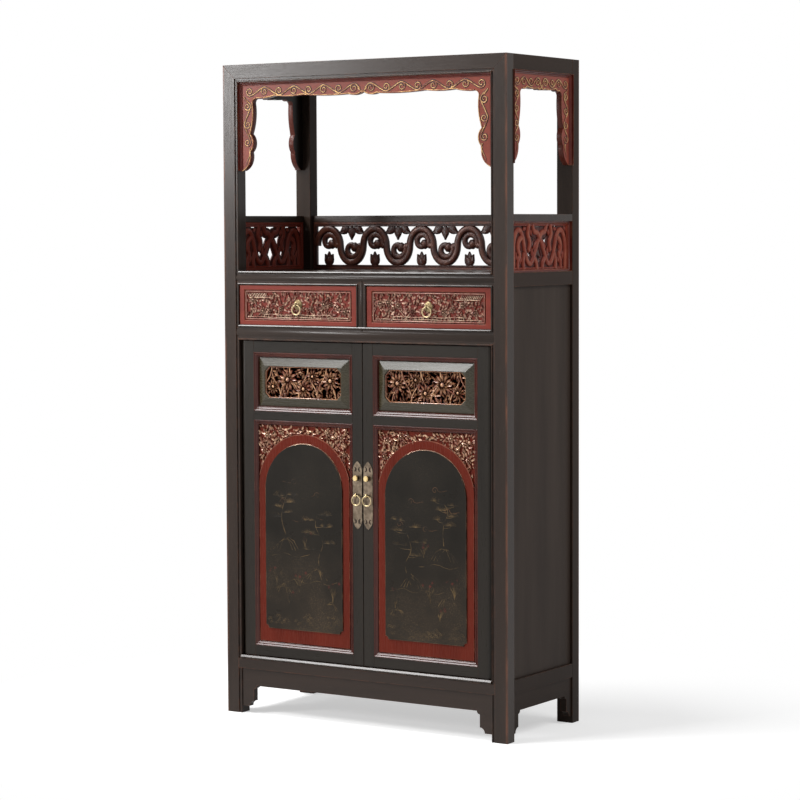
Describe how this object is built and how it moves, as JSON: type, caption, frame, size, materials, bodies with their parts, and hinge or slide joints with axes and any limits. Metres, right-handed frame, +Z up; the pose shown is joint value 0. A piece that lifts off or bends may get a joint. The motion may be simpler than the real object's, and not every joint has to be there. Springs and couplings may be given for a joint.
{
  "type": "storage cabinet",
  "caption": "Tall lacquered storage cabinet: open display bay with lobed aprons and a pierced scroll gallery, drawers on runners, pivot-hung doors with arched panels, ring pulls",
  "frame": {"origin": "on the floor, under the middle of the case", "axes": "+X to the right seen from the front, +Y to the back, +Z up; the doors and drawers face -Y"},
  "size_m": [0.9, 0.3885, 1.78],
  "materials": {
    "dark_lacquer": "worn near-black lacquer, satin",
    "red_lacquer": "worn red lacquer with gilt lines, satin",
    "gilt_carving": "red lacquer with gilt relief, satin",
    "painted_lacquer": "black lacquer with faded painted ornament, semi-gloss",
    "inner_wood": "plain unlacquered boards, matte",
    "brass": "aged, dull"
  },
  "bodies": {
    "case": {"front_left_post": "dark_lacquer", "front_right_post": "dark_lacquer", "rear_left_post": "dark_lacquer", "rear_right_post": "dark_lacquer", "top_front_rail": "dark_lacquer", "top_rear_rail": "dark_lacquer", "top_end_rails": "dark_lacquer", "top_panel": "dark_lacquer", "shelf_front_rail": "dark_lacquer", "shelf_rear_rail": "dark_lacquer", "shelf_end_rails": "dark_lacquer", "shelf_panel": "dark_lacquer", "drawer_divider": "dark_lacquer", "drawer_rail": "dark_lacquer", "bottom_front_rail": "dark_lacquer", "bottom_rear_rail": "dark_lacquer", "bottom_end_rails": "dark_lacquer", "front_base_apron": "dark_lacquer", "end_base_aprons": "dark_lacquer", "side_panels": "dark_lacquer", "gallery_rails": "dark_lacquer", "front_apron_top": "red_lacquer", "front_apron_legs": "red_lacquer", "end_aprons": "red_lacquer", "rear_gallery_panel": "red_lacquer", "end_gallery_panels": "red_lacquer", "drawer_runners": "inner_wood", "bottom_panel": "inner_wood", "back_panel": "inner_wood", "inner_shelf": "inner_wood", "inner_shelf_cleats": "inner_wood"},
    "left_door": {"left_door_hinge_stile": "dark_lacquer", "left_door_meeting_stile": "dark_lacquer", "left_door_rails": "dark_lacquer", "left_door_mouldings": "red_lacquer", "left_door_bevel_frame": "dark_lacquer", "left_door_lattice": "gilt_carving", "left_door_arch_board": "red_lacquer", "left_door_arch_panel": "painted_lacquer", "left_door_lock_plate": "brass"},
    "left_door_ring": {"left_door_ring": "brass"},
    "left_drawer": {"left_drawer_front": "gilt_carving", "left_drawer_box": "inner_wood", "left_drawer_pull": "brass"},
    "left_drawer_ring": {"left_drawer_ring": "brass"},
    "right_door": {"right_door_hinge_stile": "dark_lacquer", "right_door_meeting_stile": "dark_lacquer", "right_door_rails": "dark_lacquer", "right_door_mouldings": "red_lacquer", "right_door_bevel_frame": "dark_lacquer", "right_door_lattice": "gilt_carving", "right_door_arch_board": "red_lacquer", "right_door_arch_panel": "painted_lacquer", "right_door_lock_plate": "brass"},
    "right_door_ring": {"right_door_ring": "brass"},
    "right_drawer": {"right_drawer_front": "gilt_carving", "right_drawer_box": "inner_wood", "right_drawer_pull": "brass"},
    "right_drawer_ring": {"right_drawer_ring": "brass"}
  },
  "joints": [
    {"name": "left_door_hinge", "type": "hinge", "parent": "case", "child": "left_door", "pos_m": [-0.388, -0.172, 0.5965], "axis": [0, 0, -1], "range_deg": [0, 90]},
    {"name": "left_drawer_slide", "type": "slide", "parent": "case", "child": "left_drawer", "axis": [0, -1, 0], "range_m": [0, 0.24]},
    {"name": "left_door_ring_swing", "type": "hinge", "parent": "left_door", "child": "left_door_ring", "pos_m": [-0.017, -0.19255, 0.62331], "axis": [-1, 0, 0], "range_deg": [0, 100]},
    {"name": "left_drawer_ring_swing", "type": "hinge", "parent": "left_drawer", "child": "left_drawer_ring", "pos_m": [-0.2085, -0.19305, 1.12915], "axis": [-1, 0, 0], "range_deg": [0, 100]},
    {"name": "right_door_hinge", "type": "hinge", "parent": "case", "child": "right_door", "pos_m": [0.388, -0.172, 0.5965], "axis": [0, 0, 1], "range_deg": [0, 90]},
    {"name": "right_drawer_slide", "type": "slide", "parent": "case", "child": "right_drawer", "axis": [0, -1, 0], "range_m": [0, 0.24]},
    {"name": "right_door_ring_swing", "type": "hinge", "parent": "right_door", "child": "right_door_ring", "pos_m": [0.017, -0.19255, 0.62331], "axis": [-1, 0, 0], "range_deg": [0, 100]},
    {"name": "right_drawer_ring_swing", "type": "hinge", "parent": "right_drawer", "child": "right_drawer_ring", "pos_m": [0.2085, -0.19305, 1.12915], "axis": [-1, 0, 0], "range_deg": [0, 100]}
  ]
}
